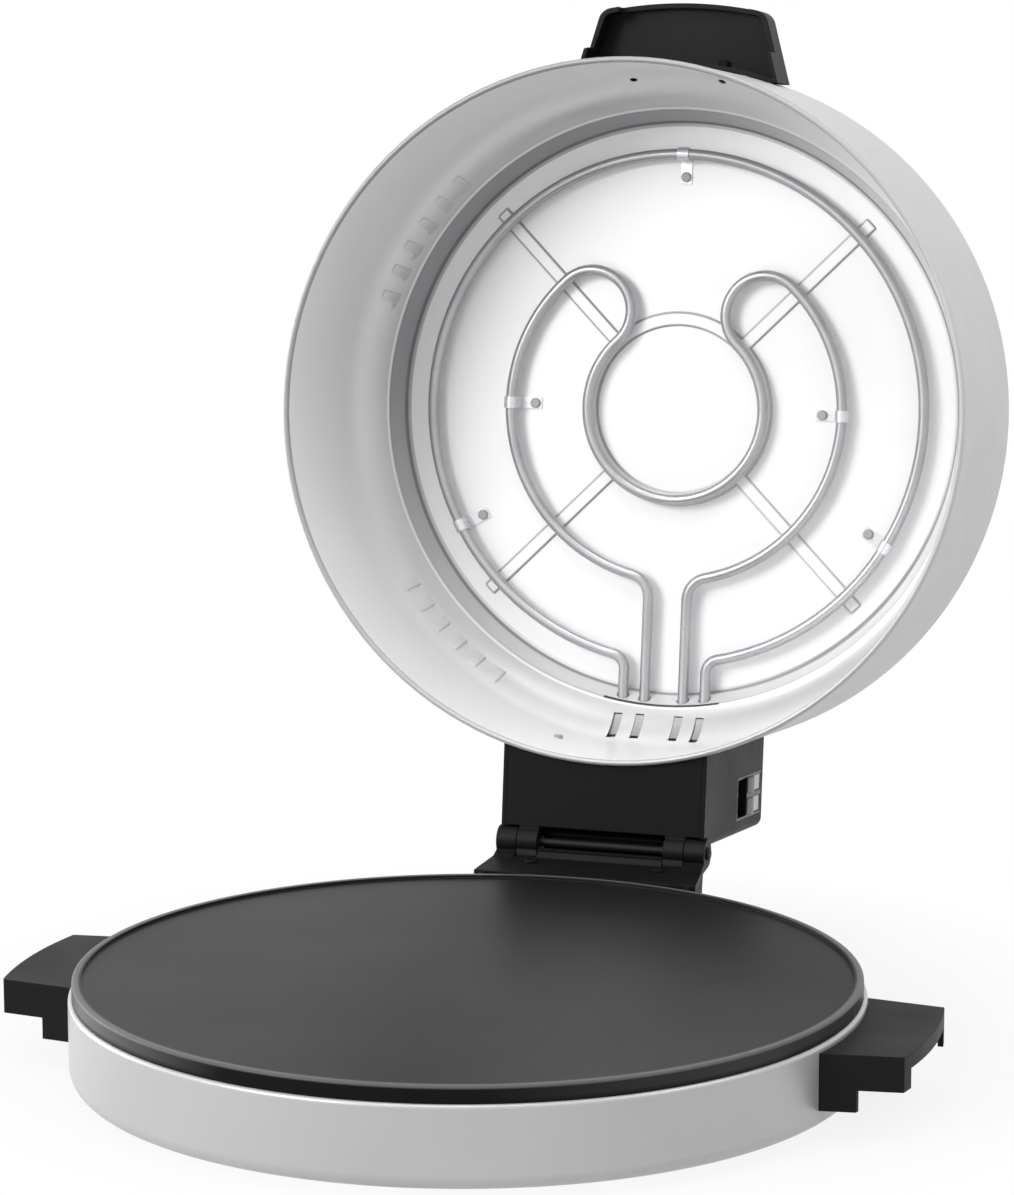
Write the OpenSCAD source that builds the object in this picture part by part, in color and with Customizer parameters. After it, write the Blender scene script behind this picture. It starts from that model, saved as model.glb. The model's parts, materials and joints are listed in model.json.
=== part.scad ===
// Countertop pizza maker: round heated plate under a deep hinged lid with its own heaters.
// Millimetres, +Z up, feet on z = 0, shown with the lid open.

/* [Base] */
// Outer diameter of the base band
base_d = 420; // [350:5:510]
// Height of the base band
band_h = 44; // [36:1:54]
// Gap between the band and the table
foot_gap = 6; // [4:0.5:9]
// Sheet thickness of band and bottom pan
base_t = 1.2; // [0.8:0.1:1.8]
// Radius of the curl at the lower edge of the band
curl_r = 8; // [5:0.5:12]
// Radius of the rolled upper edge of the band
band_edge_r = 2.2; // [2:0.1:3]
// Distance of the feet from the band wall
foot_inset = 36; // [28:1:60]
// Diameter of a foot
foot_d = 24; // [18:1:30]

/* [Cooking plate] */
// Inset of the plate wall from the band wall
plate_inset = 2; // [1.5:0.5:5]
// Height of the plate top above the band
plate_rise = 9; // [7:0.5:13]
// Thickness of the plate
plate_t = 7; // [5:0.5:8]
// Depth of the cooking surface below the plate lip
plate_recess = 1.5; // [0.5:0.1:3]
// Width of the plate lip
lip_w = 5; // [3:0.5:8]
// Distance of the plate bosses from the plate edge
boss_inset = 46; // [34:1:60]

/* [Lid] */
// Inset of the lid wall from the plate edge
lid_inset = 5; // [3:0.5:8]
// Depth of the lid from rim to top
lid_depth = 144; // [136:1:172]
// Sheet thickness of the lid shell
lid_t = 1; // [0.8:0.1:1.5]
// Radius of the lid shoulder
shoulder_r = 16; // [8:1:24]
// Radius of the rolled rim
bead_r = 1.7; // [1.4:0.1:2.4]
// Angle by which the lid stands open
open_angle = 97; // [60:1:105]
// Gap between the closed lid and the plate
closed_gap = 0.4; // [0.3:0.1:2]

/* [Lid liner] */
// Sheet thickness of the liner
liner_t = 0.8; // [0.6:0.1:1.2]
// Radial gap between liner wall and lid shell
liner_gap = 0.5; // [0.2:0.1:1]
// Gap between reflector floor and lid top
floor_gap = 7; // [4:0.5:12]
// Radius of the louvred shoulder
louvre_r = 30; // [24:1:36]
// Height of the step around the reflector floor
step_h = 14; // [9:0.5:16]
// Slope of that step, measured across it
step_run = 6.4; // [3:0.2:9]
// Louvres in each of the four groups
louvres = 6; // [3:1:7]
// Angle between two louvres of the groups beside the lid handle
louvre_pitch = 5; // [4.5:0.1:6.5]
// Angle between two louvres of the groups beside the hinge
hinge_louvre_pitch = 4.6; // [4.4:0.1:6]
// Length of a louvre
louvre_len = 11; // [7:0.5:14]
// Outer radius of the pressed ring on the floor
ring_r = 58; // [50:1:66]
// Width of the pressed ribs
rib_w = 7.5; // [5:0.5:10]

/* [Lid heaters] */
// Diameter of the heater tube
tube_d = 6.5; // [5:0.5:8]
// Height of the tube centre above the reflector floor
tube_lift = 7.8; // [6:0.2:9]
// Gap between the outer loop and the edge of the floor
loop_margin = 19.5; // [14:0.5:30]
// Radius of the middle arc
mid_r = 103; // [90:1:112]
// Radius of the inner circle
inner_r = 54.5; // [46:0.5:62]
// Half of the opening angle at the top of the middle arc
hairpin_a = 43; // [38:1:50]
// Bend radius of the outer loop into its legs
outer_bend = 9; // [8:0.5:12]
// Bend radius of the middle arc into its legs
mid_bend = 14; // [10:0.5:18]
// Distance of the outer legs from the middle
outer_leg_x = 25.5; // [24:0.5:30]
// Distance of the inner legs from the middle
inner_leg_x = 12; // [8:0.5:13]

/* [Lower heater] */
// Radius of the lower heater ring
low_r = 120; // [90:1:128]
// Diameter of the lower heater tube
low_tube_d = 7; // [5:0.5:8]
// Distance of the lower legs from the middle
low_leg_x = 14; // [11:0.5:20]

/* [Handles] */
// Reach of the base handles beyond the band
handle_reach = 40; // [32:1:48]
// Half length of a base handle where it meets the band
handle_half_in = 52.5; // [45:0.5:66]
// Half length of a base handle at its outer edge
handle_half_out = 47; // [40:0.5:60]
// Half length of the lid handle where it meets the lid
lid_handle_half_in = 60; // [50:0.5:70]
// Half length of the lid handle at its outer edge
lid_handle_half_out = 49; // [40:0.5:60]
// Corner radius of the base handles
handle_corner = 1.5; // [1:0.5:10]
// Corner radius of the lid handle
lid_handle_corner = 9; // [5:0.5:14]
// Wall thickness of a handle
handle_t = 3; // [2.5:0.1:4]
// Depth of the end walls of a handle
handle_wall_h = 18.5; // [14:0.5:22]
// Depth of the mounting legs of a handle
handle_leg_h = 30; // [24:0.5:36]
// Radial length of the mounting legs
handle_leg_w = 17.5; // [14:0.5:24]
// Depth of the outer skirt between the end walls
handle_skirt_h = 8; // [5:0.5:13]
// Distance of the base handles' top below the band top
handle_drop = 3.3; // [1:0.1:8]
// Distance of the lid handle's top below the lid top
lid_handle_drop = 12.5; // [8:0.5:20]

/* [Hinge] */
// Distance of the hinge pin behind the band
hinge_reach = 41; // [36:0.5:50]
// Height of the hinge pin above the closed lid rim
hinge_rise = 7.5; // [6:0.1:12]
// Diameter of the hinge pin
pin_d = 5; // [4:0.5:6]
// Running clearance of the lid knuckles on the pin
pin_gap = 0.06; // [0.03:0.01:0.1]
// Outer diameter of the knuckles
knuckle_d = 16.8; // [14:0.2:19]
// Half width over the outer knuckles
hinge_half = 62.5; // [54:0.5:72]
// Length of one knuckle
knuckle_l = 12; // [9:0.5:15]
// Gap between neighbouring knuckles
knuckle_gap = 0.5; // [0.3:0.1:1]
// Thickness of the bracket plate
bracket_t = 3; // [2.5:0.1:4]
// Extra half width at the front edge of the bracket
bracket_flare = 3.5; // [0:0.5:6]

/* [Hinge housing] */
// Wall thickness of the housing
housing_t = 2.5; // [2:0.1:3]
// Distance of the housing from the lid rim
housing_low = 4; // [3:0.5:8]
// Distance of the housing from the lid top
housing_top = 8; // [5:0.5:9]
// Corner radius of the housing
housing_corner = 6; // [4:0.5:9]
// Gap between the moving housing and the fixed hinge parts
swing_gap = 0.8; // [0.5:0.1:1.5]
// Gap left at the opening stop
stop_gap = 0.3; // [0.2:0.1:0.6]

/* [Switches] */
// Length of a rocker
rocker_l = 28; // [22:1:32]
// Width of a rocker
rocker_w = 9; // [7:0.5:11]
// Distance between the two rockers
rocker_pitch = 12.7; // [12:0.1:15]
// Half of the angle through which a rocker tips
rocker_a = 8; // [5:1:10]
// Clearance around a rocker
rocker_gap = 0.4; // [0.3:0.1:0.8]
// Bore radius of the cord gland
gland_bore_r = 3.7; // [3:0.1:4.2]

/* [Hidden] */
$fn = 96;
eps = 0.01;

// base
base_r = base_d / 2;
band_top = foot_gap + band_h;
pan_z = foot_gap + base_t;
plate_r = base_r - plate_inset;
plate_top = band_top + plate_rise;
plate_low = plate_top - plate_t;
seat_gap = 0.4;
wrap_gap = 0.15;
ring_drop = 4;
ring_out_r = plate_r - lip_w;
ring_w = 2.5;
flange_r = ring_out_r + seat_gap;
pan_r = base_r - base_t - seat_gap;
foot_r = base_r - foot_inset;
foot_angles = [60, 120, 225, 315];
boss_r = plate_r - boss_inset;
boss_angles = [90, 210, 330];
boss_d = 13;
shield_t = 0.8;
shield_z = pan_z + base_t + 16;
shield_r = base_r - base_t - 11;
plate_screw_r = 2;
screw_slack = 0.3;

// lid, in its own closed frame: origin at the rim centre, +Z into the lid
lid_r = plate_r - lid_inset;
rim_z = plate_top + closed_gap;
hinge_y = base_r + hinge_reach;
hinge_z = rim_z + hinge_rise;
liner_out_r = lid_r - lid_t - liner_gap;
liner_in_r = liner_out_r - liner_t;
floor_z = lid_depth - lid_t - floor_gap - liner_t;
step_z = floor_z - step_h;
arc_out_r = louvre_r + liner_t;
arc_turn = 75;
arc_z = step_z - louvre_r * sin(arc_turn);
step_r = liner_in_r - louvre_r + louvre_r * cos(arc_turn);
floor_r = step_r - step_run;
tube_z = floor_z - tube_lift;
outer_r = floor_r - loop_margin;
hairpin_r = (mid_r - inner_r) / 2;
leg_in_y = lid_r + 18;
pin_tip_y = leg_in_y + 9;
collar_l = 1;
collar_h = 0.1;
knuckle_r = knuckle_d / 2;
outer_knuckle_x = hinge_half - knuckle_l;
inner_knuckle_x = outer_knuckle_x - knuckle_gap - knuckle_l;

// shift of the part so that its footprint, lid open, is centred on the origin
function open_y(y, z) = hinge_y + (y - hinge_y) * cos(open_angle) + (z - hinge_rise) * sin(open_angle);
back_y = max(open_y(-(lid_r - shoulder_r), lid_depth - shoulder_r) + shoulder_r,
    open_y(lid_r - shoulder_r, lid_depth - shoulder_r) + shoulder_r);
mid_y = (back_y - base_r) / 2;

// housing, in the lid frame
housing_half = hinge_half - 1.5;
housing_y = hinge_y - 2;
housing_z0 = housing_low;
housing_z1 = lid_depth - housing_top;
base_plate_y = hinge_y - knuckle_r - swing_gap;
relief_r = knuckle_r + swing_gap;

// bracket
bracket_front_y = base_r + 2;
bracket_rear_y = hinge_y - knuckle_r - swing_gap;
bracket_front_z = plate_top - 1.5;
bracket_rear_z = hinge_z - knuckle_r + 1.5;
cheek_t = 3;

// switches, in the lid frame
switch_z0 = housing_z1 - 59;
switch_z1 = housing_z1 - 4;
rocker_z = switch_z1 - rocker_gap - 1 - rocker_l / 2;
rocker_y = (lid_r + housing_y) / 2 + 1;
rocker_pivot_x = housing_half - 3;
pocket_half_y = rocker_pitch / 2 + rocker_w / 2 + rocker_gap + 1.6;

black = [0.13, 0.13, 0.14];
silver = [0.78, 0.79, 0.8];
dark_plate = [0.24, 0.24, 0.25];
steel = [0.6, 0.61, 0.63];
ceramic = [0.93, 0.92, 0.88];
rubber = [0.09, 0.09, 0.09];

// ---------------------------------------------------------------- frames
module on_base() { translate([0, -mid_y, 0]) children(); }

module on_lid() {
    translate([0, hinge_y - mid_y, hinge_z]) rotate([-open_angle, 0, 0])
        translate([0, -hinge_y, -hinge_rise]) children();
}

// Extrudes a [y, z] profile from x0 to x1
module along_x(x0, x1) { translate([x0, 0, 0]) rotate([90, 0, 90]) linear_extrude(x1 - x0) children(); }

// Carries a z-axis shape to a point of the lid wall, axis pointing outward along +Y
module out_y(x, y, z) { translate([x, y, z]) rotate([-90, 0, 0]) children(); }

module bar(a, b) { translate(a) cube(b - a); }

// ---------------------------------------------------------------- shared shapes
// Quarter of a ring profile in the given quadrant
module quarter_ring(r, t, qx, qy) {
    intersection() {
        difference() {
            circle(r);
            circle(r - t);
        }
        translate([qx > 0 ? 0 : -r - 1, qy > 0 ? 0 : -r - 1]) square(r + 1);
    }
}

module pan_head_screw(head_r, head_h, shank_r, length) {
    cylinder(h = head_h - 0.6, r = head_r);
    translate([0, 0, head_h - 0.6]) cylinder(h = 0.6, r1 = head_r, r2 = head_r - 0.6);
    translate([0, 0, -length]) cylinder(h = length + eps, r = shank_r);
}

// Arc of a bent tube round the z axis, from angle a0 over da degrees
module tube_arc(r, tube_r, a0, da) {
    rotate([0, 0, a0]) rotate_extrude(angle = da) translate([r, 0]) circle(tube_r, $fn = 32);
}

// Narrow collar where two stretches of tube meet, square to the direction d
module collar(p, d, tube_r) {
    translate([p[0], p[1], 0]) rotate([0, 0, atan2(d[1], d[0])]) rotate([0, 90, 0])
        cylinder(h = collar_l, r = tube_r + collar_h, center = true, $fn = 32);
}

// Straight tube in the xy plane between two points
module tube_line(a, b, tube_r) {
    d = b - a;
    translate([a[0], a[1], 0]) rotate([0, 0, atan2(d[1], d[0])]) rotate([0, 90, 0])
        cylinder(h = norm(d), r = tube_r, $fn = 32);
}

// Handle outline, radial direction +Y, with tangent corner rounds
module handle_plan(rin, rout, half_in, half_out, rc) {
    slope = atan((half_in - half_out) / (rout - rin));
    n = [cos(slope), sin(slope)];
    t = [-sin(slope), cos(slope)];
    off = n * [half_in, rin] - rc;
    c = off * n + sqrt(pow(rout - rc, 2) - off * off) * t;
    side = c + rc * n;
    far = c / norm(c) * (rout + 6);
    base = [half_in + (half_in - half_out) / (rout - rin) * 8, rin - 8];
    difference() {
        union() {
            intersection() {
                circle(rout);
                polygon([base, side, c, far, [0, rout + 8], [-far[0], far[1]], [-c[0], c[1]],
                    [-side[0], side[1]], [-base[0], base[1]]]);
            }
            for (s = [-1, 1]) translate([s * c[0], c[1]]) circle(rc, $fn = 48);
        }
        circle(rin + wrap_gap);
    }
}

// Handle with its grip plate on top at z = 0, corner radius rc, hollow below
module handle(rin, reach, rc, half_in, half_out, screw_rise) {
    rout = rin + reach;
    skirt_half = half_out - 9;
    difference() {
        translate([0, 0, -handle_leg_h]) linear_extrude(handle_leg_h)
            handle_plan(rin, rout, half_in, half_out, rc);
        // the end walls are shallower than the mounting legs
        translate([0, 0, -handle_leg_h - 1]) linear_extrude(handle_leg_h - handle_wall_h + 1)
            difference() {
                translate([-rout, 0]) square([2 * rout, rout + 5]);
                circle(rin + handle_leg_w);
            }
        // finger hollow
        translate([0, 0, -handle_leg_h - 1]) linear_extrude(handle_leg_h + 1 - handle_t)
            handle_plan(rin + handle_t, rout - handle_t, half_in - handle_t, half_out - handle_t,
                max(rc - handle_t, 1));
        // the skirt between the end walls is short
        translate([0, 0, -handle_leg_h - 1]) linear_extrude(handle_leg_h + 1 - handle_skirt_h)
            intersection() {
                translate([-skirt_half, 0]) square([2 * skirt_half, rout + 5]);
                difference() {
                    circle(rout + 1);
                    circle(rout - handle_t - 2);
                }
            }
        for (s = [-1, 1]) handle_screw_axis(s, rin, screw_rise) translate([0, 0, -1])
            cylinder(h = handle_t + 6, r = 2 + screw_slack);
    }
}

handle_screw_x = 28;
// Height of the screws above the foot of a leg
base_screw_rise = 9;
lid_screw_rise = 5.5;
module handle_screw_axis(s, rin, screw_rise) {
    a = asin(handle_screw_x / rin);
    rotate([0, 0, -s * a]) translate([0, rin, screw_rise - handle_leg_h]) rotate([-90, 0, 0]) children();
}

// Two screws with the heads inside the body wall, of thickness wall, and nuts in the handle
module handle_screws(rin, wall, screw_rise) {
    for (s = [-1, 1]) handle_screw_axis(s, rin, screw_rise) {
        translate([0, 0, -wall - 0.1]) rotate([180, 0, 0]) pan_head_screw(4, 2.2, 2, wall + handle_t + 4);
        translate([0, 0, handle_t + wrap_gap]) cylinder(h = 3, r = 4, $fn = 6);
    }
}

// ---------------------------------------------------------------- base
module base_band() {
    color(silver) on_base() difference() {
        rotate_extrude() {
            translate([base_r - base_t, foot_gap + curl_r])
                square([base_t, band_h - curl_r - band_edge_r]);
            // rolled upper edge and the seat for the plate
            translate([base_r - band_edge_r, band_top - band_edge_r]) quarter_ring(band_edge_r, base_t, 1, 1);
            translate([flange_r, band_top - base_t]) square([base_r - band_edge_r - flange_r, base_t]);
            translate([base_r - curl_r, foot_gap + curl_r]) quarter_ring(curl_r, base_t, 1, -1);
            translate([base_r - curl_r - 14, foot_gap]) square([14, base_t]);
        }
        for (s = [-1, 1]) rotate([0, 0, s * 90]) translate([0, 0, band_top - handle_drop])
            for (k = [-1, 1]) handle_screw_axis(k, base_r, base_screw_rise) translate([0, 0, -3])
                cylinder(h = 6, r = 2 + screw_slack);
        for (s = [-1, 1]) support_screw_axis(s) translate([0, 0, -4])
            cylinder(h = 8, r = 2 + screw_slack);
    }
}

module base_pan() {
    slot_l = 26;
    color(steel) on_base() difference() {
        rotate_extrude() {
            square_at(0, pan_z, pan_r - 8, base_t);
            // pressed stiffening ring
            square_at(low_r - 16, pan_z, 6, base_t + 2);
            translate([pan_r - 8, pan_z + 8]) quarter_ring(8, base_t, 1, -1);
            square_at(pan_r - base_t, pan_z + 8, base_t, 4);
        }
        rotate_extrude() square_at(low_r - 16 + base_t, pan_z - 1, 6 - 2 * base_t, 3);
        for (a = foot_angles) rotate([0, 0, a]) translate([foot_r, 0, 0])
            cylinder(h = 20, r = 2 + screw_slack);
        for (a = boss_angles) rotate([0, 0, a]) translate([boss_r, 0, 0])
            cylinder(h = 20, r = plate_screw_r + screw_slack);
        // vent slots
        for (a = [0:30:330], r = [46, 58, 70]) rotate([0, 0, a]) translate([r, 0, pan_z - 1])
            rotate([0, 0, 90]) slot(slot_l * r / 90, 3, 5);
    }
}

module square_at(x, y, w, h) { translate([x, y]) square([w, h]); }

// Round-ended slot, centred, along x
module slot(l, w, h) {
    linear_extrude(h) {
        square([l - w, w], center = true);
        for (s = [-1, 1]) translate([s * (l - w) / 2, 0]) circle(w / 2, $fn = 24);
    }
}

module cooking_plate() {
    boss_low = shield_z + shield_t;
    color(dark_plate) on_base() difference() {
        union() {
            rotate_extrude() {
                square_at(0, plate_low, plate_r - 2, plate_t - plate_recess);
                square_at(plate_r - lip_w, band_top, lip_w - 1.5, plate_top - band_top);
                square_at(plate_r - 1.6, band_top, 1.6, plate_top - band_top - 1.6);
                translate([plate_r - 1.6, plate_top - 1.6]) quarter_ring(1.6, 1.6, 1, 1);
                square_at(ring_out_r - ring_w, band_top - ring_drop, ring_w, ring_drop + 3);
            }
            for (a = boss_angles) rotate([0, 0, a]) translate([boss_r, 0, boss_low])
                cylinder(h = plate_low - boss_low + 1, d = boss_d);
            for (a = clamp_angles) rotate([0, 0, a]) translate([low_r - 15, 0, plate_low - 6])
                cylinder(h = 7, r = 5);
        }
        for (a = boss_angles) rotate([0, 0, a]) translate([boss_r, 0, boss_low - 1])
            cylinder(h = 17, r = plate_screw_r);
        for (a = clamp_angles) rotate([0, 0, a]) translate([low_r - 15, 0, plate_low - 7])
            cylinder(h = 8, r = 1.5);
    }
}

module plate_screws() {
    color(steel) on_base() for (a = boss_angles) rotate([0, 0, a]) translate([boss_r, 0, pan_z])
        rotate([180, 0, 0]) pan_head_screw(4.2, 2.4, plate_screw_r, shield_z - pan_z + 14);
}

module spacer_sleeves() {
    color(steel) on_base() for (a = boss_angles) rotate([0, 0, a])
        translate([boss_r, 0, pan_z + base_t]) difference() {
            cylinder(h = shield_z - pan_z - base_t, r = 5);
            translate([0, 0, -1]) cylinder(h = shield_z, r = plate_screw_r + screw_slack);
        }
}

module heat_shield() {
    color(silver) on_base() difference() {
        rotate_extrude() {
            square_at(0, shield_z, shield_r - 8, shield_t);
            translate([shield_r - 8, shield_z + 8]) quarter_ring(8, shield_t, 1, -1);
            square_at(shield_r - shield_t, shield_z + 8, shield_t, 4);
        }
        for (a = boss_angles) rotate([0, 0, a]) translate([boss_r, 0, shield_z - 1])
            cylinder(h = 4, r = plate_screw_r + screw_slack);
    }
}

low_z = plate_low - low_tube_d / 2 - 0.2;
low_bend = 10;
clamp_angles = [30, 150, 270];
leg_end_y = base_r - base_t - 26;

// Nearly closed loop with two parallel legs, along +Y
module loop_tube(r, tube_r, leg_x, bend_r, leg_y) {
    cx = leg_x + bend_r;
    cy = sqrt(pow(r + bend_r, 2) - cx * cx);
    a = atan2(cx, cy);
    tube_arc(r, tube_r, 90 + a, 360 - 2 * a);
    leg_bends(leg_x, bend_r, cx, cy, a, tube_r, leg_y);
}

// The two outward bends and the legs that follow them
module leg_bends(leg_x, bend_r, cx, cy, a, tube_r, leg_y) {
    for (s = [-1, 1]) {
        translate([s * cx, cy, 0])
            tube_arc(bend_r, tube_r, s > 0 ? 180 : 270 + a, 90 - a);
        collar([s * cx, cy] - bend_r * [s * sin(a), cos(a)], [cos(a), -s * sin(a)], tube_r);
        tube_line([s * leg_x, cy], [s * leg_x, leg_y], tube_r);
        collar([s * leg_x, cy], [0, 1], tube_r);
    }
}

module lower_element() {
    color(steel) on_base() translate([0, 0, low_z]) {
        loop_tube(low_r, low_tube_d / 2, low_leg_x, low_bend, leg_end_y);
        for (s = [-1, 1])
            tube_line([s * low_leg_x, leg_end_y - 2], [s * low_leg_x, leg_end_y + 9], 1.5);
    }
}

module element_clamps() {
    t = 1.5;
    low = low_z - low_tube_d / 2 - 0.1 - t;
    color(steel) on_base() for (a = clamp_angles) rotate([0, 0, a]) difference() {
        union() {
            bar([low_r - 22, -7, low], [low_r + low_tube_d / 2 + 2, 7, low + t]);
            translate([low_r - 15, 0, low + t - eps]) cylinder(h = plate_low - 6 - low - t + eps, r = 5);
            translate([low_r - 15, 0, low - 2]) cylinder(h = 2 + eps, r = 3);
        }
        translate([low_r - 15, 0, low + t]) cylinder(h = 12, r = 1.5);
    }
}

module plate_thermostat() {
    color(steel) on_base() translate([58, 0, plate_low]) {
        translate([0, 0, -9]) cylinder(h = 8.8, r = 9);
        for (s = [-1, 1]) translate([0, s * 5, -15]) bar([-3, -0.4, 0], [3, 0.4, 6 + eps]);
    }
}

module side_handle(s) {
    color(black) on_base() rotate([0, 0, -s * 90]) translate([0, 0, band_top - handle_drop])
        handle(base_r, handle_reach, handle_corner, handle_half_in, handle_half_out, base_screw_rise);
}

module side_handle_left() { side_handle(-1); }
module side_handle_right() { side_handle(1); }

module side_handle_screws() {
    color(steel) on_base() for (s = [-1, 1]) rotate([0, 0, -s * 90])
        translate([0, 0, band_top - handle_drop]) handle_screws(base_r, base_t, base_screw_rise);
}

module feet() {
    r = foot_d / 2;
    color(rubber) on_base() for (a = foot_angles) rotate([0, 0, a]) translate([foot_r, 0, 0])
        rotate_extrude() difference() {
            union() {
                square_at(0, 1.5, r, pan_z - 1.5);
                square_at(0, 0, r - 1.5, 2);
                translate([r - 1.5, 1.5]) quarter_ring(1.5, 1.5, 1, -1);
            }
            square_at(-1, -1, 6, 4);
            square_at(-1, -1, 3.2, 20);
        }
}

module foot_screws() {
    color(steel) on_base() for (a = foot_angles) rotate([0, 0, a]) translate([foot_r, 0, 3])
        rotate([180, 0, 0]) {
            pan_head_screw(4, 2, 2, pan_z + 4);
            translate([0, 0, -(pan_z + base_t - 3) - 3]) cylinder(h = 3, r = 4, $fn = 6);
        }
}

// ---------------------------------------------------------------- hinge, fixed side
bracket_slope = atan((bracket_rear_z - bracket_front_z) / (bracket_rear_y - bracket_front_y));
function bracket_top_z(y) = bracket_front_z + (y - bracket_front_y) * tan(bracket_slope);
bracket_screw_x = 38;
bracket_screw_y = hinge_y - 18;
support_screw_x = 30;
support_screw_z = foot_gap + 25;
trough_t = 2.2;

module support_screw_axis(s) {
    rotate([0, 0, -s * asin(support_screw_x / base_r)]) translate([0, base_r, support_screw_z])
        rotate([-90, 0, 0]) children();
}

module hinge_bracket() {
    arm_y = hinge_y - 15;
    cheek_low = foot_gap + 12;
    color(black) on_base() difference() {
        union() {
            // sloping plate, wider at its front edge
            intersection() {
                along_x(-hinge_half - bracket_flare, hinge_half + bracket_flare)
                    polygon([[bracket_front_y, bracket_front_z], [bracket_rear_y, bracket_rear_z],
                        [bracket_rear_y, bracket_rear_z - bracket_t],
                        [bracket_front_y, bracket_front_z - bracket_t]]);
                linear_extrude(200) polygon([for (p = [[1, 0], [1, 1], [-1, 1], [-1, 0]])
                    [p[0] * (hinge_half + bracket_flare * (1 - p[1])),
                        p[1] > 0 ? bracket_rear_y : bracket_front_y]]);
            }
            for (s = [-1, 1]) {
                x0 = s > 0 ? outer_knuckle_x : -hinge_half;
                // knuckle and its arm
                along_x(x0, x0 + knuckle_l) {
                    translate([hinge_y, hinge_z]) circle(knuckle_r);
                    polygon([[arm_y, bracket_top_z(arm_y)], [arm_y, bracket_top_z(arm_y) - bracket_t],
                        [hinge_y, hinge_z - knuckle_r], [hinge_y, hinge_z],
                        [hinge_y - knuckle_r, hinge_z - 5]]);
                }
                // cheek down the side of the band
                x1 = s > 0 ? hinge_half - cheek_t : -hinge_half;
                along_x(x1, x1 + cheek_t) polygon([[base_r - 20, cheek_low],
                    [base_r - 20, bracket_front_z - 1], [bracket_front_y - 1, bracket_front_z - 1],
                    [bracket_rear_y, bracket_rear_z - 1], [hinge_y - 12, hinge_z - 22],
                    [base_r + 12, cheek_low]]);
            }
            // trough below and behind the pin, between the lid knuckles
            along_x(-inner_knuckle_x + knuckle_gap, inner_knuckle_x - knuckle_gap) {
                translate([hinge_y, hinge_z]) intersection() {
                    difference() {
                        circle(knuckle_r);
                        circle(knuckle_r - trough_t);
                    }
                    polygon([[0, 0], for (a = [-160, -115, -70, -25, 38])
                        2 * knuckle_d * [cos(a), sin(a)]]);
                }
                polygon([[bracket_rear_y - 1, bracket_rear_z - bracket_t],
                    [bracket_rear_y - 1, bracket_rear_z], [hinge_y - knuckle_r + 1, hinge_z - 4],
                    [hinge_y - 2, hinge_z - knuckle_r + 1], [hinge_y - 1, hinge_z - knuckle_r + 0.3]]);
            }
        }
        cylinder(h = band_top + 0.3, r = base_r + wrap_gap);
        cylinder(h = 200, r = plate_r + 0.6);
        along_x(-100, 100) translate([hinge_y, hinge_z]) circle(pin_d / 2 + 0.02);
        for (s = [-1, 1]) bracket_screw_axis(s) translate([0, 0, -8])
            cylinder(h = 16, r = 2 + screw_slack);
    }
}

module bracket_screw_axis(s) {
    translate([s * bracket_screw_x, bracket_screw_y, bracket_top_z(bracket_screw_y)])
        rotate([bracket_slope, 0, 0]) children();
}

// Steel angle that ties the bracket to the band
module hinge_support() {
    t = 1.5;
    half = hinge_half - cheek_t - 6;
    y1 = bracket_rear_y - 1;
    color(steel) on_base() difference() {
        union() {
            intersection() {
                translate([0, 0, foot_gap + curl_r]) difference() {
                    cylinder(h = bracket_front_z - bracket_t - foot_gap - curl_r, r = base_r + t + wrap_gap);
                    translate([0, 0, -1]) cylinder(h = 100, r = base_r + wrap_gap);
                }
                bar([-half, 0, 0], [half, base_r + 10, bracket_front_z - bracket_t]);
            }
            intersection() {
                along_x(-half, half) polygon([
                    [base_r - 15, bracket_top_z(base_r - 15) - bracket_t],
                    [y1, bracket_top_z(y1) - bracket_t], [y1, bracket_top_z(y1) - bracket_t - t],
                    [base_r - 15, bracket_top_z(base_r - 15) - bracket_t - t]]);
                difference() {
                    bar([-half, 0, 0], [half, 400, 200]);
                    cylinder(h = 200, r = base_r + wrap_gap);
                }
            }
        }
        for (s = [-1, 1]) bracket_screw_axis(s) translate([0, 0, -12]) cylinder(h = 16, r = 2 + screw_slack);
        for (s = [-1, 1]) support_screw_axis(s) translate([0, 0, -4]) cylinder(h = 8, r = 2 + screw_slack);
    }
}

module bracket_screws() {
    color(steel) on_base() for (s = [-1, 1]) {
        bracket_screw_axis(s) {
            pan_head_screw(3.6, 1.6, 2, bracket_t + 6);
            translate([0, 0, -bracket_t - 1.5 - 3]) cylinder(h = 3, r = 4, $fn = 6);
        }
        support_screw_axis(s) {
            translate([0, 0, 1.5 + wrap_gap]) pan_head_screw(4, 2.2, 2, 8);
            translate([0, 0, -base_t - 3.1]) cylinder(h = 3, r = 4, $fn = 6);
        }
    }
}

module hinge_pin() {
    color(steel) on_base() translate([0, hinge_y, hinge_z]) rotate([0, 90, 0]) {
        translate([0, 0, -hinge_half]) cylinder(h = 2 * hinge_half, d = pin_d);
        for (s = [0, 1]) rotate([s * 180, 0, 0]) translate([0, 0, hinge_half]) {
            cylinder(h = 1, r = pin_d / 2 + 1.3);
            translate([0, 0, 1]) cylinder(h = 0.8, r1 = pin_d / 2 + 1.3, r2 = pin_d / 2);
        }
    }
}

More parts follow.
